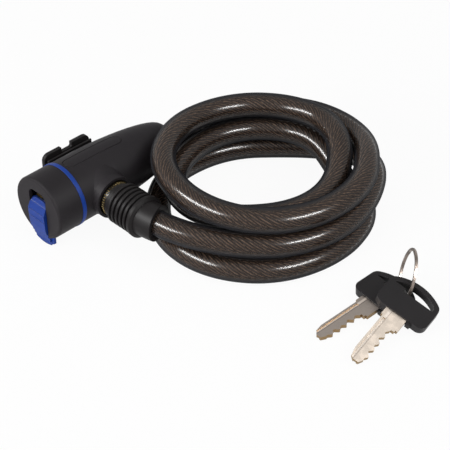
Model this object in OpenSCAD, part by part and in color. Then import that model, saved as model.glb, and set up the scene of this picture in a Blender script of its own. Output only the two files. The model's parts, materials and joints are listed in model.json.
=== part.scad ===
// Coiled cable lock with its two keys.
// +Z is up, the barrel lies along X with its keyhole towards -X, and its cable socket faces -Y.
// The origin is on the surface that the lock lies on, at the centre of the cable's coil.

/* [Barrel] */
// Outside diameter of the barrel at its front cap
barrel_d = 31.2; // [30:0.2:33]
// Length from the keyhole face to the tip of the domed end
barrel_len = 78; // [76:1:84]
// Length of the front cap
cap_len = 13.5; // [12:0.5:14]
// Width of the accent ring
accent_w = 2; // [1.5:0.5:3]
// Distance from the keyhole face to the socket's axis
socket_from_face = 30; // [30:0.5:31]
// Outside diameter of the socket boss
boss_d = 20.6; // [20:0.2:22]
// Distance from the barrel's axis to the mouth of the boss
boss_reach = 18.5; // [18:0.5:19]

/* [Lock cylinder] */
// Diameter of the turning key plug
plug_d = 13; // [12:0.2:13]
// Diameter of the cylinder that holds the plug
cylinder_d = 18; // [17:0.5:19]
// Width of the keyway
keyway_w = 2.3; // [2.2:0.1:2.6]
// Height of the keyway
keyway_h = 8.4; // [8.2:0.1:8.8]
// Radius of the cam pin's circle
cam_r = 1.8; // [1.6:0.1:2]
// Number of wafers in the plug
wafer_count = 5; // [4:1:6]

/* [Dust cover] */
// Width of the cover and of its slot
cover_w = 11; // [10:0.5:12]
// Height of the cover's front plate
cover_h = 24.9; // [23:0.1:26]
// How far the thumb wedge stands out of the face
cover_proud = 1.6; // [1.2:0.1:2.4]
// Height of the keyhole slot's top over the barrel's axis
slot_top = 9.4; // [9:0.2:10]

/* [Cable] */
// Outside diameter of the cable's sleeve
cable_d = 12; // [11.6:0.1:12]
// Diameter of the steel rope
rope_d = 7.6; // [5:0.2:7.8]
// Diameter of the steel plug on the cable's free end
pin_d = 8; // [7.6:0.1:8.2]
// Diameter of the boot's ribs
boot_d = 20; // [19:0.2:20.4]
// Number of ribs on the boot
rib_count = 5; // [3:1:6]

/* [Keys] */
// Length of a key's blade outside its head
blade_len = 30; // [29:0.5:33]
// Width of the blade at its shoulder
blade_w = 7; // [6.6:0.1:7.6]
// Thickness of the blade
blade_t = 2; // [1.8:0.1:2.1]
// Width of the head
head_w = 25.5; // [24:0.5:26]
// Thickness of the head
head_t = 4.2; // [3.8:0.1:4.6]
// Outside diameter of the split ring
ring_d = 24; // [23.8:0.1:24.2]

/* [Hidden] */
$fn = 72;
eps = 0.02;

// Where the barrel lies: the crossing of the barrel's and the socket's axes.
cross_x = -59.5;
barrel_y = 56;
axis_z = 20.5;

barrel_r = barrel_d / 2;
face_x = -socket_from_face;
far_x = face_x + barrel_len;
cap_back = face_x + cap_len;
shell_x = cap_back + accent_w;
mouth_r = cable_d / 2 + 1.6;
spigot_r = barrel_r - 2.4;
wall = 2;

// Lock cylinder and its moving insides, along the barrel.
cylinder_r = cylinder_d / 2;
plug_r = plug_d / 2;
run_fit = 0.05;
cover_room = 3;
plate_t = 1.2;
plate_x = face_x + 1.9;
track_gap = 0.2;
cylinder_x = face_x + 5;
cylinder_len = 14;
cylinder_back = cylinder_x + cylinder_len;
retainer_t = 0.8;
retainer_r = plug_r + 1.4;
plug_back = cylinder_back + 1.6;
cam_t = 1.6;
cam_back = plug_back + cam_t;
cam_pin_r = 1.2;
cam_pin_len = 2.4;
flange_x = cam_back + 0.3;
flange_t = 2;
bolt_t = 2;
groove_y = 3;
pin_r = pin_d / 2;
neck_r = 2.5;
bolt_lift = 2 * cam_r * sin(45);
bolt_low = neck_r + 0.1 + bolt_lift;
bolt_top = bolt_low + 3.6;
bolt_foot = -3;
bolt_y0 = -0.8;
bolt_y1 = groove_y + bolt_t / 2;
bolt_end_x = 4.8;
chamber_top = barrel_r - wall;
spring_r = 1.6;
spring_wire = 0.25;
spring_turns = 4;

// Panel outlined on the barrel's top.
panel_x = 3.5;
panel_len = 34;
panel_w = 7;

// Rail on the barrel's back.
rail_len = 27.2;
rail_mid = 2.2;
rail_t = 1.9;
rail_out = barrel_r + 3.6;
rail_h = 21;
rail_gap = 6.2;
notch_depth = 2.4;
rail_foot_h = 13;
rail_screw_x = [rail_mid - 9, rail_mid + 9];
screw_r = 1.25;
screw_depth = 10.6;

// Cable plug and its socket, along the boss.
pin_tip = 9;
liner_r = 6;
liner_back = 5.5;
mouth_room = 3.5;
collar_r = 8.3;
collar_out = boss_reach + 3;
ferrule_r = 7.4;
ferrule_end = 31.4;
boot_r = boot_d / 2;
boot_front = collar_out - 0.6;
rib_start = boot_front + 3.1;
rib_pitch = 2.6;
rib_w = 1.6;
flange_start = rib_start + rib_count * rib_pitch;
bend_r = 30;
bend_angle = 16;
bend_start = 38.5;
sleeve_r = 8.5;

// Cable: what the clearances take, then the route.
sleeve_r_out = cable_d / 2;
rope_r = rope_d / 2;
bore_gap = 0.3;
anchor_len = 16;
anchor_x = far_x - anchor_len - 6;
ferrule_back = 6.9;
ferrule_len = 12.7;
rope_stop = 2.5;
anchor_pin_r = 1.5;
anchor_pin_len = 26;
route_sides = 12;
route_step = 18;
// The cable's way as [turn angle, radius, height], from the boot to the barrel's far end.
boot_turn = [[-203, 65, 20.5], [-189, 59.1, 20.5], [-175, 54, 19.6], [-160, 49.8, 18.8], [-140, 47.2, 18.2],
    [-105, 46.8, 18.2], [-75, 47.6, 18.2], [-55, 49.4, 18], [-40, 52, 17.5], [-27, 54.4, 15.2],
    [-15, 55, 13.2], [0, 53.2, 10], [15, 50.6, 7.2], [30, 47.5, 6.2]];
ground_turn = [[45, 46, 6], [85, 46.5, 6], [115, 49, 6], [135, 49.6, 6], [180, 51.6, 6], [217, 50.2, 6],
    [255, 47.6, 6], [285, 47.4, 6], [300, 47.6, 6], [312, 46.6, 6], [322, 44, 6.6], [334, 41.2, 9.4],
    [347, 40.2, 13.6], [360, 41.2, 16.8], [378, 43, 18.2]];
inner_turn = [[405, 43.8, 18.2], [435, 43.2, 18.2], [465, 42, 18.4], [495, 41.8, 18.8], [530, 39.2, 20.2],
    [555, 36.2, 22], [585, 34.2, 24], [635, 33.6, 25.8], [670, 34.4, 28], [690, 36.8, 30.4],
    [705, 39.4, 31.4], [727, 43.4, 31]];
top_turn = [[765, 45.8, 30.6], [800, 46.6, 31], [835, 46.4, 32.8], [860, 46.6, 33], [895, 45.4, 31.6],
    [945, 45, 30.4], [990, 45.6, 30.4], [1020, 47, 30.4], [1035, 47.6, 30], [1050, 49.6, 28.4],
    [1065, 52.4, 25.8], [1080, 54.6, 24.2]];
barrel_turn = [[1095, 55.8, 23.4], [1112, 56.2, 22.4], [1135, 56.2, 21.4], [1170, barrel_y, axis_z]];
coil = concat(boot_turn, ground_turn, inner_turn, top_turn, barrel_turn);
coil_from = -189;
coil_to = 1170;

// Where the keys lie: root of each blade, heading, pitch and roll.
key_1_at = [-17.6, -80.9, 4.5];
key_1_turn = -6;
key_1_pitch = 5.7;
key_1_roll = 2;
key_2_at = [-19.4, -95.9, 8.5];
key_2_turn = 7;
key_2_pitch = 10.5;
key_2_roll = 18;
ring_at = [1.2, -86.2, 12.2];
ring_turn = 45;
ring_lean = 14.5;
ring_w = 0.7;
ring_h = 1.3;
blade_in = 6;
shoulder_len = 8;
shoulder_drop = 2.6;
shoulder_rise = 0.8;
rise_len = 4;

charcoal = "#3a393d";
blue = "#2743b0";
steel = "#b9bcc0";
brass = "#b58d45";
nickel = "#c9c4bb";
rubber_black = "#29282a";
smoke = "#4a403b";

// ---------- placing ----------

module at_lock() { translate([cross_x, barrel_y, axis_z]) children(); }
// Turns a shape made along +Z so that it lies along +X.
module along_x(x = 0) { translate([x, 0, 0]) rotate([0, 90, 0]) children(); }
// Turns a shape made along +Z so that it lies along -Y.
module along_boss(y = 0) { translate([0, -y, 0]) rotate([90, 0, 0]) children(); }
module at_key(place, turn, pitch, roll) {
    translate(place) rotate([0, 0, turn]) rotate([0, -pitch, 0]) rotate([roll, 0, 0]) children();
}

module rod_x(x, len, r) { along_x(x) cylinder(h = len, r = r); }
module rod_boss(y, len, r) { along_boss(y) cylinder(h = len, r = r); }

// ---------- barrel ----------

// Radius of the barrel at x: straight to the socket, then one long curve into the cable's mouth.
function shell_r(x) = x <= 0 ? barrel_r - 0.1 :
    mouth_r + (barrel_r - 0.1 - mouth_r) * sqrt(max(0, 1 - pow(x / far_x, 1.6)));

// The barrel's skin from x to its far end, grown outwards by gap.
module shell(x, gap = 0) {
    steps = 12;
    curve = [for (i = [0:steps]) let (u = far_x * (1 - pow(1 - i / steps, 2))) [shell_r(u) + gap, u]];
    along_x() rotate_extrude() polygon(concat([[0, x], [shell_r(x) + gap, x]], curve, [[0, far_x]]));
}

module boss_skin() {
    rod_boss(0, boss_reach, boss_d / 2);
    // A flared foot blends the boss into the barrel.
    along_boss(9) cylinder(h = 5.5, r1 = boss_d / 2 + 2.6, r2 = boss_d / 2);
}

// Room for the retainer and the cam, for the bolt at both ends of its travel, and for its spring.
module bolt_chamber() {
    room = 0.4;
    rod_x(cylinder_back - eps, cam_back + 0.2 - cylinder_back, retainer_r + 0.2);
    translate([flange_x - room, bolt_y0 - room, bolt_foot - bolt_lift - room])
        cube([bolt_end_x - flange_x + 2 * room, bolt_y1 - bolt_y0 + 2 * room, bolt_top - bolt_foot + bolt_lift + 2 * room]);
    translate([0, groove_y, 0]) cylinder(h = chamber_top, r = spring_r + 0.6);
}

module barrel_housing() color(charcoal) at_lock() difference() {
    union() {
        shell(shell_x);
        boss_skin();
        rod_x(cylinder_x - 1, shell_x - cylinder_x + 1, spigot_r);
    }
    rod_x(cylinder_x - 2, cylinder_len + 2, cylinder_r + run_fit);
    bolt_chamber();
    rod_boss(-pin_tip - 1, pin_tip + 1 + liner_back, pin_r + 0.1);
    rod_boss(liner_back, boss_reach, liner_r + run_fit);
    rod_boss(boss_reach - mouth_room, mouth_room + 1, collar_r + 0.6);
    // Cable's bore, the anchor's pocket and the cross pin's hole in the domed end.
    rod_x(anchor_x - 7, far_x - anchor_x + 8, sleeve_r_out + bore_gap);
    translate([anchor_x, 0, -anchor_pin_len / 2 - 2]) cylinder(h = anchor_pin_len + 2, r = anchor_pin_r + run_fit);
    for (x = rail_screw_x) translate([x, rail_out - screw_depth, 0]) rotate([-90, 0, 0])
        cylinder(h = screw_depth, r = screw_r + eps);
    panel_groove();
}

// A shallow groove round a long panel on the barrel's top.
module panel_groove() difference() {
    translate([panel_x, 0, 0]) linear_extrude(barrel_r + 1) difference() {
        offset(panel_w / 2) square([panel_len - panel_w, eps], center = true);
        offset(panel_w / 2 - 0.6) square([panel_len - panel_w, eps], center = true);
    }
    shell(shell_x, -0.3);
}

module slot_2d(w, top, foot) {
    corner = 3.6;
    hull() {
        for (s = [-1, 1]) translate([s * (w / 2 - corner), top - corner]) circle(corner, $fn = 32);
        translate([-w / 2, foot]) square([w, 1]);
    }
}

// Puts an outline drawn in (across, up) on the keyhole face, at depth x.
module on_face(x, t) { translate([x, 0, 0]) rotate([90, 0, 90]) linear_extrude(t) children(); }

module front_cap() color(charcoal) at_lock() difference() {
    along_x() rotate_extrude() polygon([[0, face_x], [barrel_r - 1.1, face_x], [barrel_r - 0.35, face_x + 0.3],
        [barrel_r, face_x + 1.1], [barrel_r, cap_back], [0, cap_back]]);
    rod_x(face_x + cover_room + 1, cap_len, spigot_r + run_fit);
    rod_x(face_x + cover_room - 0.2, cap_len, cylinder_r - 1);
    // Keyhole slot, open at the bottom, and the wider track for the cover's guide plate.
    on_face(face_x - 1, cover_room + 3) square_slot(cover_w + 0.6, slot_top, -barrel_r - 1);
    on_face(plate_x - track_gap, plate_t + 2 * track_gap) square_slot(cover_w + 4, slot_top + 1.6, -barrel_r - 1);
}

// A slot with rounded top corners.
module square_slot(w, top, foot) {
    corner = 3.4;
    translate([-w / 2, foot]) square([w, top - corner - foot]);
    translate([-w / 2 + corner, foot]) square([w - 2 * corner, top - foot]);
    for (s = [-1, 1]) translate([s * (w / 2 - corner), top - corner]) circle(corner);
}

module accent_ring() color(blue) at_lock() along_x(cap_back) difference() {
    cylinder(h = accent_w, r = barrel_r + 0.2);
    translate([0, 0, -1]) cylinder(h = accent_w + 2, r = spigot_r);
}

cover_top = 4.5;
cover_foot = cover_top - cover_h;
ridge_drops = [5.6, 9.5];
ridge_w = 0.4;
step_from = cover_top - 14;
step_h = 2.6;
step_count = 3;
step_slope = 0.35;
step_in = 0.95;
foot_r = 14;

// The wedge seen from its side, as (depth behind the face, height).
module cover_side_2d() {
    front = 0.4 - cover_proud;
    polygon(concat([[plate_x - face_x + 0.1, cover_top], [1.2, cover_top], [-cover_proud, cover_top - ridge_drops[0]],
        [0.1 - cover_proud, cover_top - ridge_drops[1]]],
        [for (i = [0:step_count - 1]) each [[front + i * step_in, step_from - i * step_h],
            [front + i * step_in + step_slope, step_from - (i + 1) * step_h]]],
        [[front + step_count * step_in, step_from - step_count * step_h],
            [front + step_count * step_in, cover_foot], [plate_x - face_x + 0.1, cover_foot]]));
}

module dust_cover() color(blue) at_lock() {
    // The wedge leans back to its top edge and gets thinner in steps towards the foot.
    intersection() {
        translate([face_x, cover_w / 2, 0]) rotate([90, 0, 0]) linear_extrude(cover_w) cover_side_2d();
        on_face(face_x - cover_proud - 1, cover_proud + 4) cover_full(cover_w);
    }
    on_face(plate_x, plate_t) guide_2d();
    // Grip ridges across the wedge.
    for (d = ridge_drops) translate([face_x - cover_proud - 0.15, 0.6 - cover_w / 2, cover_top - d - ridge_w / 2])
        cube([0.6, cover_w - 1.2, ridge_w]);
}

module above_foot(r) translate([0, cover_foot + foot_r]) {
    circle(r);
    translate([-r, 0]) square([2 * r, cover_h]);
}
module cover_full(w) intersection() {
    square_slot(w, cover_top, cover_foot);
    above_foot(foot_r);
}
module guide_2d() intersection() {
    square_slot(cover_w + 3.4, cover_top - 0.8, cover_foot + 0.4);
    above_foot(foot_r - 0.4);
}

module rail_plate_2d() {
    corner = 3.2;
    difference() {
        offset(corner, $fn = 32) square([rail_len - 2 * corner, rail_h - 2 * corner], center = true);
        for (s = [-1, 1]) translate([0, s * rail_h / 2])
            offset(1, $fn = 32) square([rail_gap - 2, 2 * notch_depth - 2], center = true);
    }
}

module bracket_rail() color(rubber_black) at_lock() difference() {
    union() {
        translate([rail_mid, rail_out, 0]) rotate([90, 0, 0]) linear_extrude(rail_t) rail_plate_2d();
        difference() {
            union() {
                translate([rail_mid - rail_len / 2 + 0.6, barrel_r - 3, -rail_foot_h / 2])
                    cube([rail_len - 1.2, rail_out - rail_t + 3.1 - barrel_r, rail_foot_h]);
                // A second, narrower flange behind the tabs.
                translate([rail_mid - rail_len / 2 + 0.6, barrel_r - 0.9, 1.6 - rail_h / 2])
                    cube([rail_len - 1.2, 0.9, rail_h - 3.2]);
            }
            shell(face_x, eps);
        }
    }
    for (x = rail_screw_x) translate([x, rail_out + 1, 0]) rotate([90, 0, 0]) {
        cylinder(h = screw_depth + 1, r = screw_r + 0.3);
        cylinder(h = 2.6, r = 2.9);
    }
}

module rail_screws() color(steel) at_lock()
    for (x = rail_screw_x) translate([x, rail_out - 1.6, 0]) rotate([90, 0, 0]) difference() {
        union() {
            translate([0, 0, -1]) cylinder(h = 9.4, r = screw_r);
            translate([0, 0, -1.2]) cylinder(h = 1.2, r = 2.7);
        }
        translate([-0.35, -2, -1.4]) cube([0.7, 4, 0.8]);
    }

// ---------- lock cylinder ----------

module lock_cylinder() color(steel) at_lock() difference() {
    rod_x(cylinder_x, cylinder_len, cylinder_r);
    rod_x(cylinder_x - 1, cylinder_len + 2, plug_r + run_fit);
}

wafer_t = 1;
wafer_w = 5;
wafer_pitch = 2.4;
wafer_x = cylinder_x + 2;

module key_plug() color(brass) at_lock() difference() {
    rod_x(cylinder_x - 1, plug_back - cylinder_x + 1, plug_r);
    translate([cylinder_x - 2, -keyway_w / 2, -keyway_h / 2]) cube([cylinder_len + 1, keyway_w, keyway_h]);
    for (i = [0:wafer_count - 1]) translate([wafer_x + i * wafer_pitch, -wafer_w / 2 - 0.05, -plug_r - 1])
        cube([wafer_t + 0.1, wafer_w + 0.1, 2 * plug_r + 2]);
    // Groove for the retainer.
    along_x(cylinder_back + 0.1) difference() {
        cylinder(h = retainer_t + 0.1, r = plug_r + 1);
        translate([0, 0, -1]) cylinder(h = retainer_t + 3, r = plug_r - 1);
    }
}

module wafers() color(brass) at_lock() for (i = [0:wafer_count - 1])
    translate([wafer_x + 0.05 + i * wafer_pitch, 0, 0]) difference() {
        translate([0, -wafer_w / 2, -5.7]) cube([wafer_t, wafer_w, 11.4]);
        translate([-1, -1.3, -4.3]) cube([wafer_t + 2, 2.6, 8.6]);
    }

module plug_retainer() color(steel) at_lock() along_x(cylinder_back + 0.12) difference() {
    cylinder(h = retainer_t, r = retainer_r);
    translate([0, 0, -1]) cylinder(h = 3, r = plug_r - 0.95);
    translate([-2, 0, -1]) cube([4, 12, 3]);
}

module cam() color(steel) at_lock() {
    rod_x(plug_back, cam_t, plug_r - 0.6);
    translate([0, cam_r * cos(45), cam_r * sin(45)]) rod_x(cam_back - eps, cam_pin_len, cam_pin_r);
}

// The bolt is drawn: its foot clears the cable plug, and the cam pin holds it up.
module latch_bolt() color(steel) at_lock() difference() {
    union() {
        translate([flange_x, bolt_y0, bolt_foot]) cube([flange_t, bolt_y1 - bolt_y0, bolt_top - bolt_foot]);
        translate([flange_x, groove_y - bolt_t / 2, bolt_low]) cube([bolt_end_x - flange_x, bolt_t, bolt_top - bolt_low]);
    }
    translate([flange_x - 1, -0.2, cam_r * sin(45) - cam_pin_r - 0.15])
        cube([flange_t + 2, 3.4, 2 * cam_pin_r + 0.3]);
}

function helix(r, pitch, turns, n) = [for (i = [0:turns * n]) [r * cos(i * 360 / n), r * sin(i * 360 / n),
    i * pitch / n]];

// One closed tube through the points, with k sides.
module tube_through(pts, radii, k) {
    n = len(pts);
    function dir(i) = let (d = pts[min(i + 1, n - 1)] - pts[max(i - 1, 0)]) d / norm(d);
    function side(i) = let (s = cross(dir(i), [0, 0, 1])) s / norm(s);
    points = [for (i = [0:n - 1]) let (a = side(i), b = cross(a, dir(i)))
        for (j = [0:k - 1]) pts[i] + radii * (cos(j * 360 / k) * a + sin(j * 360 / k) * b)];
    skin = [for (i = [0:n - 2], j = [0:k - 1]) [i * k + j, i * k + (j + 1) % k, (i + 1) * k + (j + 1) % k,
        (i + 1) * k + j]];
    ends = [[for (j = [k - 1:-1:0]) j], [for (j = [0:k - 1]) (n - 1) * k + j]];
    polyhedron(points, concat(skin, ends), convexity = 10);
}

module latch_spring() color(steel) at_lock()
    translate([0, groove_y, bolt_top + spring_wire + 0.05])
        tube_through(helix(spring_r, (chamber_top - bolt_top - 2 * spring_wire - 0.2) / spring_turns,
            spring_turns, 12), spring_wire, 6);

// ---------- socket and cable ends ----------

module socket_liner() color(steel) at_lock() difference() {
    rod_boss(liner_back, boss_reach - mouth_room - liner_back + 1.6, liner_r);
    rod_boss(liner_back - 1, boss_reach, pin_r + 0.06);
}

module cable_plug() color(steel) at_lock() difference() {
    union() {
        along_boss(-pin_tip) cylinder(h = 1, r1 = pin_r - 1, r2 = pin_r);
        rod_boss(1 - pin_tip, pin_tip - 1 + ferrule_end - 9, pin_r);
    }
    along_boss(-groove_y - bolt_t / 2 - 0.25) difference() {
        cylinder(h = bolt_t + 0.5, r = pin_r + 1);
        translate([0, 0, -1]) cylinder(h = bolt_t + 3, r = neck_r);
    }
}

module plug_collar() color(steel) at_lock() difference() {
    rod_boss(boss_reach - 1.2, collar_out - boss_reach + 1.2, collar_r);
    rod_boss(0, 30, pin_r);
}

module plug_ferrule() color(steel) at_lock() difference() {
    rod_boss(collar_out, ferrule_end - collar_out, ferrule_r);
    rod_boss(0, ferrule_end - 9, pin_r);
    rod_boss(0, ferrule_end + 5, rope_r + 0.1);
}

// A quarter-like bend of radius r, from the boot's straight axis towards +X.
module boot_bend(r) translate([bend_r, -bend_start, 0]) rotate([0, 0, 180])
    rotate_extrude(angle = bend_angle) translate([bend_r, 0]) circle(r);

module boot_profile() {
    ribs = [for (i = [0:rib_count - 1]) let (y = rib_start + i * rib_pitch)
        each [[boot_r - 1.3, y], [boot_r - 0.2, y + 0.1], [boot_r, y + 0.4], [boot_r, y + rib_w - 0.4],
            [boot_r - 0.2, y + rib_w - 0.1], [boot_r - 1.3, y + rib_w]]];
    polygon(concat([[0, boot_front], [boot_r - 1.8, boot_front], [boot_r - 1.2, boot_front + 0.6],
        [boot_r - 1.2, rib_start - 0.6]], ribs, [[boot_r - 1.3, flange_start], [boot_r + 0.2, flange_start + 0.4],
        [boot_r + 0.3, flange_start + 2.2], [sleeve_r + 0.4, flange_start + 3], [0, flange_start + 3]]));
}

module boot() color(rubber_black) at_lock() difference() {
    union() {
        along_boss() rotate_extrude() boot_profile();
        boot_bend(sleeve_r);
    }
    rod_boss(boot_front - 1, collar_out - boot_front + 1, collar_r + eps);
    rod_boss(collar_out - 1, ferrule_end - collar_out + 1 + eps, ferrule_r + eps);
    rod_boss(ferrule_end - 1, bend_start - ferrule_end + 1.1, sleeve_r_out + bore_gap);
    boot_bend(sleeve_r_out + bore_gap);
    translate([bend_r, -bend_start, 0]) rotate([0, 0, 180 + bend_angle - 0.5])
        rotate_extrude(angle = 3) translate([bend_r, 0]) circle(sleeve_r_out + bore_gap);
}

// The rope's end is swaged into the ferrule, and a cross pin holds the ferrule in the barrel.
module anchor_ferrule() color(steel) at_lock() difference() {
    rod_x(anchor_x - ferrule_back, ferrule_len, sleeve_r_out + bore_gap - run_fit);
    rod_x(anchor_x + rope_stop, ferrule_len, rope_r + 0.1);
    translate([anchor_x, 0, -anchor_pin_len]) cylinder(h = 2 * anchor_pin_len, r = anchor_pin_r + run_fit);
}

module anchor_pin() color(steel) at_lock()
    translate([anchor_x, 0, -anchor_pin_len / 2]) cylinder(h = anchor_pin_len - 0.1, r = anchor_pin_r);

// ---------- cable ----------

// Slope of a column of the coil's list at entry i, and the smooth value between entries.
function slope(i, c) = let (a = max(i - 1, 0), b = min(i + 1, len(coil) - 1))
    i == len(coil) - 1 ? 0 : (coil[b][c] - coil[a][c]) / (coil[b][0] - coil[a][0]);
function span(a, i = 0) = i == len(coil) - 2 || a < coil[i + 1][0] ? i : span(a, i + 1);
function smooth(a, c) = let (i = span(a), h = coil[i + 1][0] - coil[i][0], t = (a - coil[i][0]) / h)
    (1 + 2 * t) * pow(1 - t, 2) * coil[i][c] + t * pow(1 - t, 2) * h * slope(i, c)
    + t * t * (3 - 2 * t) * coil[i + 1][c] + t * t * (t - 1) * h * slope(i + 1, c);
function on_coil(a) = [smooth(a, 1) * cos(a), smooth(a, 1) * sin(a), max(smooth(a, 2), sleeve_r_out)];

socket_y = barrel_y - bend_start;
function in_boot(a) = [cross_x + bend_r * (1 - cos(a)), socket_y - bend_r * sin(a), axis_z];
function boot_path(start) = [[cross_x, barrel_y - start, axis_z], in_boot(0), in_boot(bend_angle / 2)];
function coil_path() = [for (a = [coil_from:route_step:coil_to]) on_coil(a), on_coil(coil_to)];
function barrel_path(stop) = [[cross_x + far_x, barrel_y, axis_z], [cross_x + stop, barrel_y, axis_z]];
function cable_path(start, stop) = concat(boot_path(start), coil_path(), barrel_path(stop));

module cable_sleeve() color(smoke) difference() {
    tube_through(cable_path(ferrule_end + 0.3, far_x - anchor_len), sleeve_r_out, route_sides);
    tube_through(cable_path(ferrule_end - 1, far_x - anchor_len - 2), rope_r + 0.05, 8);
}

module steel_rope() color(steel)
    tube_through(cable_path(ferrule_end - 8.5, anchor_x + rope_stop + 0.1), rope_r, 8);

// ---------- keys ----------

key_cuts = [[-27, 1], [-22.9, 1.5], [-18.8, 1.1], [-14.7, 1.7], [-10.6, 1.2]];

// The blade's outline with its cuts: a plain spine on one side and bitting on the other.
module blade_2d() {
    w = blade_w / 2;
    difference() {
        polygon([[-blade_len, 1], [-blade_len + 1.4, w - 0.9], [-blade_len + 5, w], [blade_in, w],
            [blade_in, -w], [-blade_len + 4, -w], [-blade_len, -1.6]]);
        for (c = key_cuts) translate([c[0], -w]) polygon([[-2.4, -0.5], [-0.3, c[1]], [0.3, c[1]], [2.4, -0.5]]);
    }
}

module key_blade() difference() {
    translate([0, 0, -blade_t / 2]) {
        linear_extrude(blade_t) blade_2d();
        translate([-shoulder_len, -blade_w / 2 - shoulder_drop, 0])
            cube([shoulder_len + blade_in, blade_w / 2 + shoulder_drop, blade_t]);
        translate([-rise_len, 0, 0]) cube([rise_len + blade_in, blade_w / 2 + shoulder_rise, blade_t]);
    }
    translate([-shoulder_len - 1, -blade_w / 2 - shoulder_drop - 1, -blade_t]) cube([2, 2, 2 * blade_t]);
    // A groove along each side.
    for (s = [0, 1]) translate([-blade_len - 1, 1.3 - s * 2, s ? -blade_t / 2 - 1 : blade_t / 2 - 0.5])
        cube([blade_len - 4, 1.2, 1.5]);
}

head_h = 18.2;
head_side = 13.8;
head_y = -1.85;
head_corner = 3.6;
head_rim = 2.3;
window_x = 10.8;
window_step = [1.8, 3];
bulge = head_h - head_side;
far_r = (pow(head_w / 2, 2) + pow(bulge, 2)) / (2 * bulge);

// The head's outline: straight sides and a long curve across its far side.
module head_2d() offset(head_corner, $fn = 48) intersection() {
    translate([head_corner, head_y - head_w / 2 + head_corner])
        square([head_h - 2 * head_corner, head_w - 2 * head_corner]);
    translate([head_h - far_r, head_y]) circle(far_r - head_corner, $fn = 180);
}

// The window's wide part, and its narrow part on the far side of the step.
module window_2d() intersection() {
    offset(delta = -head_rim) head_2d();
    union() {
        translate([window_x, head_y - head_w]) square([head_h, head_w + window_step[1] - head_y]);
        translate([window_x + window_step[0], 0]) square([head_h, head_w]);
    }
}

module key_head() {
    difference() {
        translate([0, 0, -head_t / 2]) linear_extrude(head_t) difference() {
            head_2d();
            window_2d();
        }
        translate([-1, -blade_w / 2 - shoulder_drop - eps, -blade_t / 2 - eps])
            cube([blade_in + 1 + eps, blade_w + shoulder_drop + shoulder_rise + 2 * eps, blade_t + 2 * eps]);
    }
    // Small nib beside the blade.
    translate([-1.4, -blade_w / 2 - 5.2, -1.3]) cube([1.5, 2.2, 2.6]);
}

module key_1_blade() color(nickel) at_key(key_1_at, key_1_turn, key_1_pitch, key_1_roll) key_blade();
module key_1_head() color(rubber_black) at_key(key_1_at, key_1_turn, key_1_pitch, key_1_roll) key_head();
module key_2_blade() color(nickel) at_key(key_2_at, key_2_turn, key_2_pitch, key_2_roll) key_blade();
module key_2_head() color(rubber_black) at_key(key_2_at, key_2_turn, key_2_pitch, key_2_roll) key_head();

// Two flat turns side by side.
module split_ring() color(steel) translate(ring_at) rotate([0, 0, ring_turn]) rotate([90 + ring_lean, 0, 0])
    translate([0, 0, -ring_w]) difference() {
        cylinder(h = 2 * ring_w, r = ring_d / 2);
        translate([0, 0, -1]) cylinder(h = 4, r = ring_d / 2 - ring_h);
        translate([0, 0, ring_w - 0.06]) difference() {
            cylinder(h = 0.12, r = ring_d / 2 + 1);
            translate([0, 0, -1]) cylinder(h = 3, r = ring_d / 2 - 0.3);
        }
    }

barrel_housing();
front_cap();
accent_ring();
dust_cover();
bracket_rail();
rail_screws();
lock_cylinder();
key_plug();
wafers();
plug_retainer();
cam();
latch_bolt();
latch_spring();
socket_liner();
cable_sleeve();
steel_rope();
anchor_ferrule();
anchor_pin();
cable_plug();
plug_collar();
plug_ferrule();
boot();
key_1_blade();
key_1_head();
key_2_blade();
key_2_head();
split_ring();
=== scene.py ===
"""Coiled cable lock with its keys: the looks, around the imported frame.

Lengths are in metres in the frame's own axes, except in the cable's route, which is in millimetres as in
the part's source. +Z is up, +X runs along the barrel from its keyhole, and the coil is centred on the origin.
"""
import json
import math

import bmesh
import bpy
from mathutils import Matrix, Vector
from mathutils.kdtree import KDTree


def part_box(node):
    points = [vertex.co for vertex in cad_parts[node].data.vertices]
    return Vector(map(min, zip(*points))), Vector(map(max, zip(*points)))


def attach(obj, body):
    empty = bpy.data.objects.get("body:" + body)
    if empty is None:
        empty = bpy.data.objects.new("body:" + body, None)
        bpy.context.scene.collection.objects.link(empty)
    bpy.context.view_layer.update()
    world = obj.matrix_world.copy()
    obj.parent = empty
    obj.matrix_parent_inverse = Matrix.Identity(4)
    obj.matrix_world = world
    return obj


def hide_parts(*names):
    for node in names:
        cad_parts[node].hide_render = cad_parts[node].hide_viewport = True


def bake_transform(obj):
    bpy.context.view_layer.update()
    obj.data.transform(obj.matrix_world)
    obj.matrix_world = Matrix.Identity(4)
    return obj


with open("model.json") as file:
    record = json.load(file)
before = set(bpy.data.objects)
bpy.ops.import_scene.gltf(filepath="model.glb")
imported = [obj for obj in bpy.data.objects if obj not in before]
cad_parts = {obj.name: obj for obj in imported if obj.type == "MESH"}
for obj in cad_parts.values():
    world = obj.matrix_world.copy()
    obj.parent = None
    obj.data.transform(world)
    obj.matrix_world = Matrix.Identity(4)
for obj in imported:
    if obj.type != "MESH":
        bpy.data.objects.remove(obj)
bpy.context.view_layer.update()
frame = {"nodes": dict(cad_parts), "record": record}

MM = 0.001

# Where the barrel's axis and the boot's axis cross.
CROSS = Vector((-59.5, 56.0, 20.5)) * MM

CABLE_R = 6.0 * MM
SLEEVE_SIDES = 32
# The length of the cable's first stretch from the boot.
BEND_LENGTH = 140.0 * MM

ROPE_R = 3.75 * MM
# The vinyl magnifies the rope inside it, so its strands are drawn as wide as they look from outside.
ROPE_SHOWN_R = 4.5 * MM
# At its ends the rope narrows to its real size over this length.
ROPE_END = 14.0 * MM
ROPE_LAY = 20.0 * MM
ROPE_STRANDS = 6
STRAND_SIDES = 8
STRAND_WIRES = 7.0
# Turns of a strand's wires round it in each metre.
WIRE_TWIST = 260.0

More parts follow.
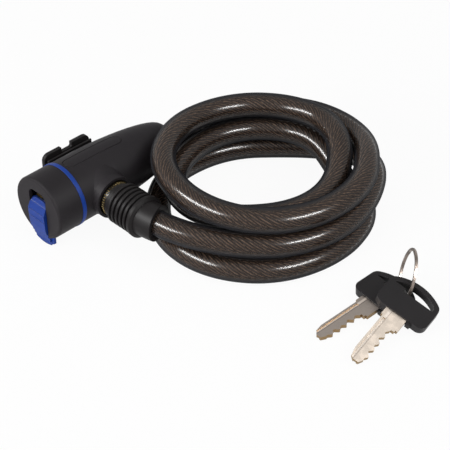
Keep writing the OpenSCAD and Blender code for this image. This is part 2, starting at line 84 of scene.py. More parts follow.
# The split ring: flat wire in nearly two turns, which start at an angle from its side.
RING_R = 12.0 * MM
RING_WIDE, RING_HIGH = 0.80 * MM, 1.4 * MM
RING_GAP = 0.04 * MM
RING_TURNS = 1.94
RING_STEPS = 96
RING_START = math.radians(62.0)
RING_END_TAPER = 0.35
# The wire's section in half widths and half heights, with its corners cut.
RING_SECTION = ((-1, -0.7), (-0.7, -1), (0.7, -1), (1, -0.7), (1, 0.7), (0.7, 1), (-0.7, 1), (-1, 0.7))

# The fine ridges round the collar, and their place along it, as a share from the boot's side.
KNURL = {"Ridges": 44, "Length": 2.6 * MM, "Width": 0.45 * MM}
KNURL_PLACE = 0.52

# Each key's place on the floor, and its turn, pitch and roll in degrees. Its blade lies along its own X.
KEY_1_PLACE = (Vector((-17.6, -80.9, 4.5)) * MM, -6.0, 5.7, 2.0)
KEY_2_PLACE = (Vector((-19.4, -95.9, 8.5)) * MM, 7.0, 10.5, 18.0)
# Across a blade: the middle and half width of its groove's floor, and of the step's shaded line.
GROOVE_MIDDLE, GROOVE_HALF, GROOVE_SOFT = 1.9 * MM, 0.60 * MM, 0.08 * MM
STEP_MIDDLE, STEP_HALF, STEP_SOFT = 1.15 * MM, 0.10 * MM, 0.14 * MM

# The dust cover's raised lines: their spacing, and the heights between which they set in.
GRIP_PITCH = 2.7 * MM
GRIP_FROM, GRIP_FULL = 20.4 * MM, 20.8 * MM

# Scales of noise: the moulds' fine grain, and the long marks along a metal's Y axis.
MOULD_GRAIN = 3800.0
METAL_MARKS = (4000.0, 300.0, 4000.0)

LIGHT_AIM = Vector((0.0, 0.0, 20.0)) * MM
STRIP_DISTANCE = 1.1
SOFTBOX_DISTANCE = 1.3
# The gloss strips' azimuth, elevation, size and power.
GLOSS_STRIPS = ((43.0, 38.0, (0.56, 0.16), 17.0), (-66.0, 34.0, (0.84, 0.18), 26.0))
WORLD_LIGHT = 0.40
FLOOR_HALF = 6.0
FLOOR_DROP = 0.3 * MM
# Share of the floor's own white in what the camera sees of it.
FLOOR_WHITE = 0.94


# ---------- camera ----------

def make_camera():
    """Looks at the lock from its keyhole's corner, 38.5 degrees above the floor."""
    heading, tilt = math.radians(45.0), math.radians(38.5)
    aim = Vector((math.cos(tilt) * math.cos(heading), math.cos(tilt) * math.sin(heading), -math.sin(tilt)))
    camera = bpy.data.objects.new("Camera", bpy.data.cameras.new("Camera"))
    camera.location = Vector((-0.3896, -0.3640, 0.4160))
    camera.rotation_euler = aim.to_track_quat("-Z", "Y").to_euler()
    camera.data.sensor_fit = "VERTICAL"
    camera.data.angle = math.radians(18.0)
    camera.data.clip_start = 0.01
    bpy.context.collection.objects.link(camera)
    bpy.context.scene.camera = camera


# ---------- the cable's route, in millimetres ----------

# The cable's way as [turn angle, radius, height], from the boot to the barrel's far end.
BOOT_TURN = [[-203, 65, 20.5], [-189, 59.1, 20.5], [-175, 54, 19.6], [-160, 49.8, 18.8], [-140, 47.2, 18.2],
    [-105, 46.8, 18.2], [-75, 47.6, 18.2], [-55, 49.4, 18], [-40, 52, 17.5], [-27, 54.4, 15.2],
    [-15, 55, 13.2], [0, 53.2, 10], [15, 50.6, 7.2], [30, 47.5, 6.2]]
GROUND_TURN = [[45, 46, 6], [85, 46.5, 6], [115, 49, 6], [135, 49.6, 6], [180, 51.6, 6], [217, 50.2, 6],
    [255, 47.6, 6], [285, 47.4, 6], [300, 47.6, 6], [312, 46.6, 6], [322, 44, 6.6], [334, 41.2, 9.4],
    [347, 40.2, 13.6], [360, 41.2, 16.8], [378, 43, 18.2]]
INNER_TURN = [[405, 43.8, 18.2], [435, 43.2, 18.2], [465, 42, 18.4], [495, 41.8, 18.8], [530, 39.2, 20.2],
    [555, 36.2, 22], [585, 34.2, 24], [635, 33.6, 25.8], [670, 34.4, 28], [690, 36.8, 30.4],
    [705, 39.4, 31.4], [727, 43.4, 31]]
TOP_TURN = [[765, 45.8, 30.6], [800, 46.6, 31], [835, 46.4, 32.8], [860, 46.6, 33], [895, 45.4, 31.6],
    [945, 45, 30.4], [990, 45.6, 30.4], [1020, 47, 30.4], [1035, 47.6, 30], [1050, 49.6, 28.4],
    [1065, 52.4, 25.8], [1080, 54.6, 24.2]]
BARREL_TURN = [[1095, 55.8, 23.4], [1112, 56.2, 22.4], [1135, 56.2, 21.4], [1170, 56, 20.5]]
COIL = BOOT_TURN + GROUND_TURN + INNER_TURN + TOP_TURN + BARREL_TURN
COIL_FROM, COIL_TO = -189.0, 1170.0
# The centre line is never lower than this.
GROUND_HEIGHT = 6.0
# The short bend below the boot: its radius, its start from the crossing of the axes, and its angle.
BEND_R, BEND_START, BEND, BEND_STEPS = 30.0, 38.5, math.radians(16.0), 5
# The barrel's far end, from the crossing of the axes.
BARREL_END = 48.0


def slope(i, column):
    """Slope of one column of the coil's list at entry i."""
    if i == len(COIL) - 1:
        return 0.0
    a, b = COIL[max(i - 1, 0)], COIL[i + 1]
    return (b[column] - a[column]) / (b[0] - a[0])


def smooth(angle, column):
    """Smooth value of one column of the coil's list at an angle."""
    i = 0
    while i < len(COIL) - 2 and angle >= COIL[i + 1][0]:
        i += 1
    h = COIL[i + 1][0] - COIL[i][0]
    t = (angle - COIL[i][0]) / h
    return ((1 + 2 * t) * (1 - t) ** 2 * COIL[i][column] + t * (1 - t) ** 2 * h * slope(i, column)
            + t * t * (3 - 2 * t) * COIL[i + 1][column] + t * t * (t - 1) * h * slope(i + 1, column))


def cable_route(step, boot_start, barrel_stop):
    """Points of the cable's centre line in metres, from inside the boot to inside the barrel."""
    points = [Vector((CROSS.x, CROSS.y - boot_start * MM, CROSS.z))]
    for k in range(BEND_STEPS):
        a = BEND * k / BEND_STEPS
        offset = Vector((BEND_R * (1 - math.cos(a)), -BEND_START - BEND_R * math.sin(a), 0))
        points.append(CROSS + offset * MM)
    count = int((COIL_TO - COIL_FROM) / step)
    for k in range(count + 1):
        a = COIL_FROM + (COIL_TO - COIL_FROM) * k / count
        r, turn = smooth(a, 1), math.radians(a)
        points.append(Vector((r * math.cos(turn), r * math.sin(turn), max(smooth(a, 2), GROUND_HEIGHT))) * MM)
    for x in (BARREL_END, barrel_stop):
        points.append(CROSS + Vector((x, 0, 0)) * MM)
    return points


def route_frames(points):
    """For each point of a route: (point, side, up), which turn as little as they can along the way."""
    frames = []
    side = None
    for i, p in enumerate(points):
        along = (points[min(i + 1, len(points) - 1)] - points[max(i - 1, 0)]).normalized()
        if side is None:
            side = along.cross(Vector((0, 0, 1))).normalized()
        side = (side - along * side.dot(along)).normalized()
        frames.append((p, side.copy(), along.cross(side)))
    return frames


def lengths_along(points):
    """Distance from the first point to each point."""
    total, out = 0.0, [0.0]
    for a, b in zip(points, points[1:]):
        total += (b - a).length
        out.append(total)
    return out


# ---------- mesh helpers ----------

def mesh_object(name, vertices, faces, edges=(), smooth_faces=True):
    mesh = bpy.data.meshes.new(name)
    mesh.from_pydata([tuple(v) for v in vertices], edges, faces)
    mesh.validate()
    if smooth_faces:
        mesh.polygons.foreach_set("use_smooth", [True] * len(mesh.polygons))
    obj = bpy.data.objects.new(name, mesh)
    bpy.context.collection.objects.link(obj)
    return obj


def fix_normals(obj):
    bm = bmesh.new()
    bm.from_mesh(obj.data)
    bmesh.ops.recalc_face_normals(bm, faces=bm.faces)
    bm.to_mesh(obj.data)
    bm.free()


def tube_faces(rings, sides):
    """Faces of a closed tube whose vertices are rings, one after another, of so many points each."""
    faces = []
    for i in range(rings - 1):
        for j in range(sides):
            k = (j + 1) % sides
            faces.append((i * sides + j, i * sides + k, (i + 1) * sides + k, (i + 1) * sides + j))
    last = (rings - 1) * sides
    faces.append(tuple(range(sides - 1, -1, -1)))
    faces.append(tuple(last + j for j in range(sides)))
    return faces


def tube_object(name, points, radius, sides):
    """A closed round tube along points, which keeps the cable's direction in its attribute "way"."""
    vertices, ways = [], []
    for p, side, up in route_frames(points):
        for j in range(sides):
            a = 2 * math.pi * j / sides
            vertices.append(p + side * (radius * math.cos(a)) + up * (radius * math.sin(a)))
            ways.extend(up.cross(side))
    obj = mesh_object(name, vertices, tube_faces(len(points), sides))
    fix_normals(obj)
    obj.data.attributes.new("way", "FLOAT_VECTOR", "POINT").data.foreach_set("vector", ways)
    return obj


def line_object(name, points):
    """An open line of edges, as the path for a node tree."""
    edges = [(i, i + 1) for i in range(len(points) - 1)]
    return mesh_object(name, points, [], edges)


# ---------- node helpers ----------

def operator(operation, reflected=False):
    """A method that adds a Math node. A reflected one takes its two numbers the other way round."""
    def method(self, other):
        pair = (other, self) if reflected else (self, other)
        return self.maker.math(operation, *pair)
    return method


class Value:
    """A socket of a node tree. Python's operators on it add Math nodes."""

    def __init__(self, maker, socket):
        self.maker = maker
        self.socket = socket

    __add__, __radd__ = operator("ADD"), operator("ADD", True)
    __sub__, __rsub__ = operator("SUBTRACT"), operator("SUBTRACT", True)
    __mul__, __rmul__ = operator("MULTIPLY"), operator("MULTIPLY", True)
    __truediv__, __rtruediv__ = operator("DIVIDE"), operator("DIVIDE", True)

    def angle(self, other):
        return self.maker.math("ARCTAN2", self, other)

    def abs(self):
        return self.maker.math("ABSOLUTE", self)

    def fract(self):
        return self.maker.math("FRACT", self)

    def mapped(self, settings, ends):
        node = self.maker.node("ShaderNodeMapRange", settings, {"Value": self, **ends})
        return Value(self.maker, node.outputs[0])

    def between(self, low, high):
        """0 to 1, spread over low to high."""
        return self.mapped({}, {"To Min": low, "To Max": high})

    def step(self, start, end, low=0.0, high=1.0):
        """A soft step from low to high between start and end."""
        ends = {"From Min": start, "From Max": end, "To Min": low, "To Max": high}
        return self.mapped({"interpolation_type": "SMOOTHSTEP"}, ends)


class NodeMaker:
    """Adds nodes to a tree. node() makes any of them: settings first, then its sockets by place or name."""

    def __init__(self, tree):
        self.tree = tree

    def node(self, kind, settings=None, inputs=None):
        node = self.tree.nodes.new(kind)
        for key, value in (settings or {}).items():
            setattr(node, key, value)
        pairs = inputs.items() if isinstance(inputs, dict) else enumerate(inputs or [])
        for key, value in pairs:
            self.feed(node.inputs[key], value)
        return node

    def feed(self, socket, value):
        if isinstance(value, Value):
            value = value.socket
        if isinstance(value, bpy.types.NodeSocket):
            self.tree.links.new(value, socket)
        elif socket.type == "RGBA" and len(value) == 3:
            socket.default_value = (*value, 1.0)
        else:
            socket.default_value = value

    def math(self, operation, *values):
        return Value(self, self.node("ShaderNodeMath", {"operation": operation}, values).outputs[0])

    def vector(self, operation, inputs, output="Vector"):
        node = self.node("ShaderNodeVectorMath", {"operation": operation}, inputs)
        return Value(self, node.outputs[output])


class Grower(NodeMaker):
    """Builds one Geometry Nodes tree with named number inputs, and turns its result into a plain mesh."""

    def __init__(self, name, sizes):
        super().__init__(bpy.data.node_groups.new(name, "GeometryNodeTree"))
        self.new_input("Geometry", "NodeSocketGeometry")
        self.sizes = {}
        for key, value in sizes.items():
            kind = "NodeSocketInt" if isinstance(value, int) else "NodeSocketFloat"
            self.sizes[self.new_input(key, kind)] = value
        self.tree.interface.new_socket("Geometry", in_out="OUTPUT", socket_type="NodeSocketGeometry")
        self.start = self.tree.nodes.new("NodeGroupInput")

    def new_input(self, name, kind):
        return self.tree.interface.new_socket(name, in_out="INPUT", socket_type=kind).identifier

    def given(self, key):
        """What comes in under a name: the base's geometry, or one of the sizes."""
        return Value(self, self.start.outputs[key])

    def here(self):
        return self.node("GeometryNodeInputPosition").outputs[0]

    def store(self, geometry, name, kind, value):
        settings = {"data_type": kind, "domain": "POINT"}
        node = self.node("GeometryNodeStoreNamedAttribute", settings, {"Geometry": geometry, "Name": name})
        self.feed(next(i for i in node.inputs if i.name == "Value" and i.enabled), value)
        return node.outputs["Geometry"]

    def grow(self, name, geometry, material, base=None):
        """Runs the tree on base, and gives the plain mesh object."""
        smoothed = self.node("GeometryNodeSetShadeSmooth", {}, {"Geometry": geometry}).outputs[0]
        real = self.node("GeometryNodeRealizeInstances", {}, {"Geometry": smoothed}).outputs[0]
        painted = self.node("GeometryNodeSetMaterial", {}, {"Geometry": real, "Material": material})
        self.node("NodeGroupOutput", {}, [painted.outputs[0]])
        holder = base or line_object(name + "_base", [Vector((0, 0, 0)), Vector((0, 0, MM))])
        modifier = holder.modifiers.new("grow", "NODES")
        modifier.node_group = self.tree
        for key, value in self.sizes.items():
            modifier[key] = value
        graph = bpy.context.evaluated_depsgraph_get()
        mesh = bpy.data.meshes.new_from_object(holder.evaluated_get(graph))
        bpy.data.objects.remove(holder)
        mesh.name = name
        obj = bpy.data.objects.new(name, mesh)
        bpy.context.collection.objects.link(obj)
        return obj


class Finish(NodeMaker):
    """Makes one material."""

    def __init__(self, name):
        self.material = bpy.data.materials.new(name)
        self.material.use_nodes = True
        super().__init__(self.material.node_tree)
        self.tree.nodes.clear()

    def coordinates(self, source="Object"):
        return self.node("ShaderNodeTexCoord").outputs[source]

    def attribute(self, name, output="Fac"):
        return Value(self, self.node("ShaderNodeAttribute", {"attribute_name": name}).outputs[output])

    def part(self, vector, axis):
        """One number of a vector: 0 for x, 1 for y and 2 for z."""
        return Value(self, self.node("ShaderNodeSeparateXYZ", {}, [vector]).outputs[axis])

    def noise(self, scale, detail, stretch=(1.0, 1.0, 1.0)):
        place = self.node("ShaderNodeMapping", {}, {"Vector": self.coordinates(), "Scale": stretch})
        inputs = {"Vector": place.outputs[0], "Scale": scale, "Detail": detail}
        return Value(self, self.node("ShaderNodeTexNoise", {}, inputs).outputs["Fac"])

    def blend(self, factor, first, second):
        """Mixes two colours. A Mix node has sockets for every type, and its colours are 6 and 7."""
        return self.node("ShaderNodeMix", {"data_type": "RGBA"}, {0: factor, 6: first, 7: second}).outputs[2]

    def bump(self, height, strength, distance, over=None):
        inputs = {"Height": height, "Strength": strength, "Distance": distance}
        if over is not None:
            inputs["Normal"] = over
        return self.node("ShaderNodeBump", {}, inputs).outputs[0]

    def softened(self, radius):
        """The surface's normal, rounded over its edges."""
        return self.node("ShaderNodeBevel", {"samples": 4}, {"Radius": radius}).outputs[0]

    def edges(self, soft):
        """1 along the edges that the softened normal rounds, 0 on open faces."""
        true = self.node("ShaderNodeNewGeometry").outputs["Normal"]
        return (1.0 - self.vector("DOT_PRODUCT", [soft, true], "Value")).step(0.02, 0.25)

    def facing(self, **sockets):
        """How straight the surface, or a direction, points at the eye: 1 is straight at it, 0 is side on."""
        weight = self.node("ShaderNodeLayerWeight", {}, {"Blend": 0.5, **sockets})
        return 1.0 - Value(self, weight.outputs["Facing"])

    def across_cable(self):
        """Square of how far out from the cable's middle a point shows: 0 in the middle, 1 at the rims."""
        surface = self.facing()
        lengthwise = self.facing(Normal=self.attribute("way", "Vector"))
        return 1.0 - surface * surface / (1.0 - lengthwise * lengthwise)

    def finish(self, **sockets):
        names = {key.replace("_", " ").title().replace("Ior", "IOR"): value for key, value in sockets.items()}
        shader = self.node("ShaderNodeBsdfPrincipled", {}, names)
        self.show(shader)
        return self.material

    def show(self, shader):
        self.node("ShaderNodeOutputMaterial", {}, {"Surface": shader.outputs[0]})


# ---------- materials ----------

def shade(colour, factor):
    return [c * factor for c in colour]


def moulded_plastic(name, colour, roughness, gloss, grain=0.05):
    """Fine spark-eroded mould grain, slight changes of tone, and edges rubbed a little lighter."""
    m = Finish(name)
    soft = m.softened(0.35 * MM)
    broad = m.noise(70.0, 2.0)
    scuffs = m.noise(420.0, 4.0, (1.0, 1.0, 3.0))
    tone = m.blend(broad, shade(colour, 0.88), shade(colour, 1.12))
    rubbed = m.edges(soft) * scuffs.step(0.35, 0.65, 0.4, 1.0)
    tone = m.blend(rubbed, tone, shade(colour, 1.35))
    rough = broad.between(roughness - 0.05, roughness + 0.06) - rubbed * 0.06
    relief = m.bump(m.noise(MOULD_GRAIN, 3.0), grain, 0.06 * MM, soft)
    return m.finish(base_color=tone, roughness=rough, specular_ior_level=gloss, normal=relief)


def ridged_cover(name, colour, roughness, gloss, grain=0.06):
    """The grip face of the dust cover: fine raised lines across it with a painted highlight on their tops,
    and edges worn a little lighter.
    """
    m = Finish(name)
    soft = m.softened(0.3 * MM)
    broad = m.noise(90.0, 2.0)
    z = m.part(m.coordinates(), 2)
    crest = 1.0 - ((z * (1 / GRIP_PITCH)).fract() - 0.5).abs() * 2.0
    ridge = crest.step(0.72, 1.0) * z.step(GRIP_FROM, GRIP_FULL)
    tone = m.blend(broad, shade(colour, 0.88), shade(colour, 1.12))
    # Painted highlight on the raised lines' tops, and the edges worn lighter.
    tone = m.blend(m.edges(soft) * 0.6 + ridge * 0.6, tone, [c + 0.09 for c in colour])
    relief = m.bump(ridge, 0.8, 0.25 * MM, soft)
    relief = m.bump(m.noise(MOULD_GRAIN, 3.0), grain, 0.06 * MM, relief)
    rough = broad.between(roughness - 0.05, roughness + 0.06)
    return m.finish(base_color=tone, roughness=rough, specular_ior_level=gloss, normal=relief)


def milled_groove(m, tone, place, floor, line):
    """A lighter floor along a blade's groove, and a shaded line on the step beside it."""
    corner, turn, pitch, roll = place
    spin = Matrix.Rotation(math.radians(turn), 3, "Z") @ Matrix.Rotation(math.radians(-pitch), 3, "Y")
    across = spin @ Matrix.Rotation(math.radians(roll), 3, "X") @ Vector((0, 1, 0))
    y = m.vector("DOT_PRODUCT", [m.coordinates(), tuple(across)], "Value") - across.dot(corner)
    in_groove = (y - GROOVE_MIDDLE).abs().step(GROOVE_HALF + GROOVE_SOFT, GROOVE_HALF)
    on_step = (y - STEP_MIDDLE).abs().step(STEP_HALF + STEP_SOFT, STEP_HALF)
    return m.blend(on_step, m.blend(in_groove, tone, floor), line)


def metal(name, colour, roughness, grain=0.08, dirt=0.7, cut=None, groove=None):
    """Bright metal with fine marks and dull patches.

    cut is the colour of its upright cut faces, and groove holds what milled_groove needs.
    """
    m = Finish(name)
    stain = m.noise(260.0, 4.0).step(0.42, 0.66)
    tone = m.blend(stain, colour, shade(colour, dirt))
    if groove:
        tone = milled_groove(m, tone, *groove)
    if cut:
        upright = m.part(m.coordinates("Normal"), 2).abs().step(0.80, 0.55)
        tone = m.blend(upright, tone, cut)
    tone = m.blend(m.edges(m.softened(0.18 * MM)), tone, shade(colour, 1.12))
    marks = m.bump(m.noise(1.0, 3.0, METAL_MARKS), grain, 0.05 * MM)
    return m.finish(base_color=tone, metallic=1.0, roughness=stain.between(roughness, roughness + 0.12),
                    normal=marks)


def smoky_vinyl():
    """Clear brown-grey vinyl: thin in the middle of the cable, dense towards its edges, with a high gloss."""
    m = Finish("smoky_vinyl")
    square = m.across_cable()
    density = square.step(0.34, 0.62, low=0.56, high=0.97)
    tone = m.blend(m.noise(160.0, 2.0), (0.016, 0.011, 0.009), (0.024, 0.018, 0.015))
    # Bluer grey towards the rims: partly the dense vinyl's own tint, partly a painted reflection of the white
    # surroundings.
    tone = m.blend(square.step(0.5, 0.8), tone, (0.024, 0.024, 0.027))
    lacquer = square.step(0.35, 0.80, low=1.0, high=0.14)
    return m.finish(base_color=tone, alpha=density, roughness=0.3, specular_ior_level=0.0,
                    coat_weight=lacquer, coat_roughness=0.20, coat_ior=1.45)


def rope_steel():
    """Bronze-grey wires, laid along each strand and turning round it, with painted shade where the strands
    meet and between the wires, and painted highlights on their crowns.
    """
    m = Finish("rope_steel")
    around = m.attribute("round", "Vector")
    turn = m.part(around, 1).angle(m.part(around, 0)) * (STRAND_WIRES / (2 * math.pi))
    wires = (turn + m.attribute("along") * WIRE_TWIST).fract()
    gap = (wires - 0.5).abs() * 2.0
    crown = 1.0 - gap
    top = m.attribute("height").step(0.75 * ROPE_SHOWN_R, 0.96 * ROPE_SHOWN_R)
    # Painted highlights along the wires' crowns, mostly on the strands' outer sides.
    lit = crown.step(0.45, 0.95) * m.noise(900.0, 2.0).step(0.35, 0.62, 0.3, 1.0) * top.between(0.25, 1.0)
    # Painted shade: the strands turn darker towards the rope's middle, where they meet.
    tone = m.blend(top, (0.016, 0.010, 0.008), (0.054, 0.033, 0.024))
    tone = m.blend(lit, tone, (0.42, 0.265, 0.175))
    # Painted shade in the gaps between the wires.
    tone = m.blend(gap.step(0.75, 1.0), tone, (0.012, 0.008, 0.007))
    return m.finish(base_color=tone, metallic=0.25, roughness=0.6, specular_ior_level=0.2,
                    normal=m.bump(crown, 0.5, 0.1 * MM))


def paint_nodes(finishes):
    for node, material in finishes.items():
        obj = frame["nodes"][node]
        obj.data.materials.clear()
        obj.data.materials.append(material)


# ---------- cable ----------

def strands_along(points, material):
    """Wire strands, twisted round the cable's centre line."""
    g = Grower("rope_strands", {"Shown radius": ROPE_SHOWN_R, "End radius": ROPE_R, "End length": ROPE_END,
                                "Lay": ROPE_LAY, "Strands": ROPE_STRANDS})
    path = g.node("GeometryNodeMeshToCurve", {}, {"Mesh": g.given("Geometry")}).outputs[0]
    length = Value(g, g.node("GeometryNodeSplineParameter").outputs["Length"])
    whole = Value(g, g.node("GeometryNodeSplineLength").outputs["Length"])
    from_end = g.math("MINIMUM", length, whole - length)
    radius = from_end.mapped({}, {"From Max": g.given("End length"), "To Min": g.given("End radius"),
                                  "To Max": g.given("Shown radius")})
    path = g.store(path, "along", "FLOAT", length)
    path = g.store(path, "core", "FLOAT_VECTOR", g.here())
    copies = g.node("GeometryNodeDuplicateElements", {"domain": "SPLINE"},
                    {"Geometry": path, "Amount": g.given("Strands")})
    share = Value(g, copies.outputs["Duplicate Index"]) / g.given("Strands")
    angle = (length / g.given("Lay") + share) * (2 * math.pi)
    turned = g.node("ShaderNodeVectorRotate", {"rotation_type": "AXIS_ANGLE"},
                    {"Vector": g.node("GeometryNodeInputNormal").outputs[0],
                     "Axis": g.node("GeometryNodeInputTangent").outputs[0], "Angle": angle}).outputs[0]
    offset = g.vector("SCALE", {0: turned, "Scale": radius * (2.0 / 3.0)})
    strands = g.node("GeometryNodeSetPosition", {},
                     {"Geometry": copies.outputs["Geometry"], "Offset": offset})
    profile = g.node("GeometryNodeCurvePrimitiveCircle", {"mode": "RADIUS"},
                     {"Resolution": STRAND_SIDES, "Radius": 1.0})
    profile = g.store(profile.outputs["Curve"], "round", "FLOAT_VECTOR", g.vector("NORMALIZE", [g.here()]))
    skin = g.node("GeometryNodeCurveToMesh", {}, {"Curve": strands.outputs[0], "Profile Curve": profile,
                                                  "Scale": radius * (1.0 / 3.0), "Fill Caps": True})
    core = g.node("GeometryNodeInputNamedAttribute", {"data_type": "FLOAT_VECTOR"}, {"Name": "core"})
    height = g.vector("DISTANCE", [g.here(), core.outputs[0]], "Value")
    body = g.store(skin.outputs[0], "height", "FLOAT", height)
    return g.grow("twisted_rope", body, material, line_object("rope_path", points))


def ease_along(piece, points, distances):
    """For each vertex of a piece, works out its share along the cable's first stretch from the boot, and
    leaves it unused.
    """
    tree = KDTree(len(points))
    for i, p in enumerate(points):
        tree.insert(p, i)
    tree.balance()
    for vertex in piece.data.vertices:
        t = min(1.0, distances[tree.find(vertex.co)[1]] / BEND_LENGTH)


def make_cable():
    points = cable_route(step=2.5, boot_start=31.7, barrel_stop=32.0)
    sleeve = tube_object("cable_sleeve_clear", points, CABLE_R, SLEEVE_SIDES)
    sleeve.data.materials.append(smoky_vinyl())
    rope_points = cable_route(step=1.5, boot_start=31.0, barrel_stop=31.0)
    rope = strands_along(rope_points, rope_steel())
    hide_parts("cable_sleeve")
    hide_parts("steel_rope")
    for piece, slot, way in ((sleeve, "smoky_vinyl", points), (rope, "rope_steel", rope_points)):
        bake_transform(piece)
        ease_along(piece, way, lengths_along(way))


# ---------- small pieces ----------

def make_split_ring(material):
    """Nearly two turns of flat wire, side by side, with its ends drawn in."""
    joint = next(j for j in frame["record"]["behaviour"]["joints"] if j["name"] == "ring_spin")
    axis, centre = Vector(joint["axis"]).normalized(), Vector(joint["pos_m"])
    across = Vector((0, 0, 1)).cross(axis).normalized()
    up = axis.cross(across)
    vertices = []
    for i in range(RING_STEPS + 1):
        t = i / RING_STEPS
        a = RING_START + 2 * math.pi * RING_TURNS * t
        away = across * math.cos(a) + up * math.sin(a)
        shift = (t - 0.5) * (RING_WIDE + RING_GAP)
        thin = 1.0 - RING_END_TAPER * max(0.0, 1.0 - min(t, 1.0 - t) * RING_STEPS / 2.0)
        for x, y in RING_SECTION:
            r = RING_R - RING_HIGH / 2 + y * RING_HIGH / 2 * thin
            vertices.append(centre + away * r + axis * (shift + x * RING_WIDE / 2 * thin))
    faces = tube_faces(RING_STEPS + 1, len(RING_SECTION))
    ring = mesh_object("split_ring_wire", vertices, faces, smooth_faces=False)
    fix_normals(ring)
    ring.data.materials.append(material)
    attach(ring, "ring")
    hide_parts("split_ring")


def make_knurl(material):
    """Fine straight ridges round the bare collar between the boss and the boot."""
    low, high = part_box("plug_collar")
    g = Grower("collar_knurl", {"Radius": (high[0] - low[0]) / 2, **KNURL})
    ring = g.node("GeometryNodeCurvePrimitiveCircle", {"mode": "RADIUS"},
                  {"Resolution": g.given("Ridges"), "Radius": g.given("Radius")}).outputs["Curve"]
    size = g.node("ShaderNodeCombineXYZ", {}, [g.given("Width"), g.given("Width"), g.given("Length")])
    ridge = g.node("GeometryNodeMeshCube", {}, {"Size": size.outputs[0]}).outputs[0]
    facing = g.node("FunctionNodeAlignRotationToVector", {"axis": "X"}, {"Vector": g.here()}).outputs[0]
    ridges = g.node("GeometryNodeInstanceOnPoints", {},
                    {"Points": ring, "Instance": ridge, "Rotation": facing})
    knurl = g.grow("collar_ridges", ridges.outputs[0], material)
    middle = low[1] + (high[1] - low[1]) * KNURL_PLACE
    placing = Matrix.Translation((CROSS.x, middle, CROSS.z)) @ Matrix.Rotation(math.radians(90.0), 4, "X")
    knurl.data.transform(placing)
    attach(knurl, "cable_end")


# ---------- stage and light ----------

def direct_rays(maker):
    """1 for what the camera sees straight, mirrored or through something clear, 0 for light that spreads."""
    rays = maker.node("ShaderNodeLightPath").outputs
    either = maker.math("MAXIMUM", rays["Is Camera Ray"], rays["Is Glossy Ray"])
    return maker.math("MAXIMUM", either, rays["Is Transmission Ray"])


def make_stage():
    corners = [(x * FLOOR_HALF, y * FLOOR_HALF, 0.0) for x, y in ((-1, -1), (1, -1), (1, 1), (-1, 1))]
    floor = mesh_object("floor", corners, [(0, 1, 2, 3)], smooth_faces=False)
    floor.location.z = -FLOOR_DROP
    m = Finish("floor")
    diffuse = m.node("ShaderNodeBsdfDiffuse", {}, {"Color": (0.86, 0.86, 0.86)})
    white = m.node("ShaderNodeEmission", {}, {"Color": (1.0, 1.0, 1.0), "Strength": 1.0})
    share = direct_rays(m) * FLOOR_WHITE
    m.show(m.node("ShaderNodeMixShader", {}, [share, diffuse.outputs[0], white.outputs[0]]))
    floor.data.materials.append(m.material)


def area_light(name, azimuth, elevation, distance, size, power):
    """A softbox. Azimuth 0 is the camera's side, and grows towards the keys."""
    data = bpy.data.lights.new(name, "AREA")
    data.shape = "RECTANGLE"
    data.size, data.size_y = size
    data.energy = power
    a, e = math.radians(azimuth - 135.0), math.radians(elevation)
    away = Vector((math.cos(e) * math.cos(a), math.cos(e) * math.sin(a), math.sin(e)))
    light = bpy.data.objects.new(name, data)
    light.location = LIGHT_AIM + distance * away
    light.rotation_euler = (LIGHT_AIM - light.location).to_track_quat("-Z", "Y").to_euler()
    bpy.context.collection.objects.link(light)
    return light


def make_light():
    """The strips show only in gloss, and the softboxes only in matt surfaces."""
    for azimuth, elevation, size, power in GLOSS_STRIPS:
        area_light("gloss_strip", azimuth, elevation, STRIP_DISTANCE, size, power).visible_diffuse = False
    area_light("softbox_right", 43.0, 42.0, SOFTBOX_DISTANCE, (0.9, 0.6), 5.0).visible_glossy = False
    area_light("softbox_left", -50.0, 20.0, SOFTBOX_DISTANCE, (0.9, 0.6), 13.0).visible_glossy = False
    area_light("overhead", 0.0, 85.0, SOFTBOX_DISTANCE, (1.4, 1.4), 3.5).visible_glossy = False


def make_world():
    world = bpy.data.worlds.new("studio")
    bpy.context.scene.world = world
    world.use_nodes = True
    world.node_tree.nodes.clear()
    maker = NodeMaker(world.node_tree)
    plain = maker.node("ShaderNodeBackground", {}, {"Color": (0.8, 0.8, 0.8), "Strength": WORLD_LIGHT})
    white = maker.node("ShaderNodeBackground", {}, {"Color": (0.8, 0.8, 0.8), "Strength": 1.0})
    both = maker.node("ShaderNodeMixShader", {}, [direct_rays(maker), plain.outputs[0], white.outputs[0]])
    maker.node("ShaderNodeOutputWorld", {}, {"Surface": both.outputs[0]})


# ---------- build ----------

make_camera()
make_cable()

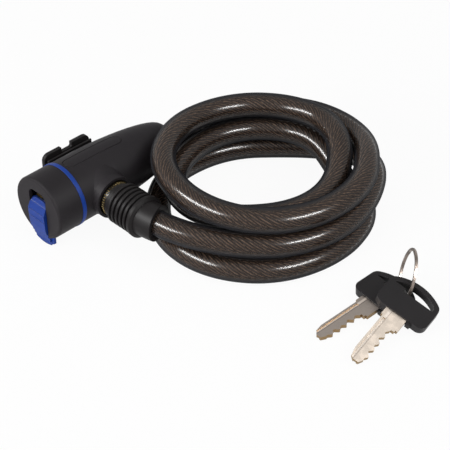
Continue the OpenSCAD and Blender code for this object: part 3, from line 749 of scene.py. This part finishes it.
charcoal = moulded_plastic("charcoal_plastic", (0.0190, 0.0166, 0.0188), 0.52, gloss=0.10, grain=0.12)
blue = moulded_plastic("blue_plastic", (0.010, 0.046, 0.28), 0.42, gloss=0.12)
ridged_blue = ridged_cover("blue_ridged", (0.0076, 0.035, 0.220), 0.42, gloss=0.14)
black = moulded_plastic("black_plastic", (0.0170, 0.0155, 0.0163), 0.40, gloss=0.14)
rubber = moulded_plastic("black_rubber", (0.0125, 0.0110, 0.0113), 0.46, gloss=0.11, grain=0.08)
collar_black = moulded_plastic("collar_black", (0.0075, 0.0065, 0.0060), 0.30, gloss=0.3)
steel = metal("bright_steel", (0.56, 0.55, 0.54), 0.26)
zinc = metal("cast_zinc", (0.36, 0.37, 0.39), 0.42)
# Both key blades are the same nickel: key 2's is painted lighter as a lit copy, and key 1's darker as a
# shaded copy.
nickel = metal("nickel", (0.53, 0.465, 0.40), 0.44, grain=0.03, dirt=0.95, cut=(0.32, 0.23, 0.13),
               groove=(KEY_2_PLACE, (0.58, 0.52, 0.46), (0.36, 0.31, 0.27)))
shaded_nickel = metal("nickel_worn", (0.31, 0.27, 0.24), 0.44, grain=0.03, dirt=0.85, cut=(0.28, 0.19, 0.10),
                    groove=(KEY_1_PLACE, (0.58, 0.51, 0.45), (0.13, 0.11, 0.10)))
ring_steel = metal("ring_steel", (0.30, 0.25, 0.22), 0.34, dirt=0.45)
brass = metal("brass", (0.60, 0.42, 0.16), 0.32)
tarnished = metal("tarnished_brass", (0.11, 0.08, 0.035), 0.34, dirt=0.2)
paint_nodes({
    "barrel_housing": charcoal, "front_cap": charcoal, "accent_ring": blue, "dust_cover": ridged_blue,
    "bracket_rail": rubber, "rail_screws": steel, "lock_cylinder": zinc, "key_plug": brass, "wafers": brass,
    "plug_retainer": steel, "cam": zinc, "latch_bolt": steel, "latch_spring": steel, "socket_liner": steel,
    "anchor_ferrule": steel, "anchor_pin": steel, "cable_plug": steel, "plug_collar": collar_black,
    "plug_ferrule": steel, "boot": rubber, "key_1_blade": shaded_nickel, "key_1_head": black,
    "key_2_blade": nickel, "key_2_head": black})
make_split_ring(ring_steel)
make_knurl(tarnished)

make_stage()
make_light()
make_world()
scene = bpy.context.scene
scene.view_settings.view_transform = "Standard"
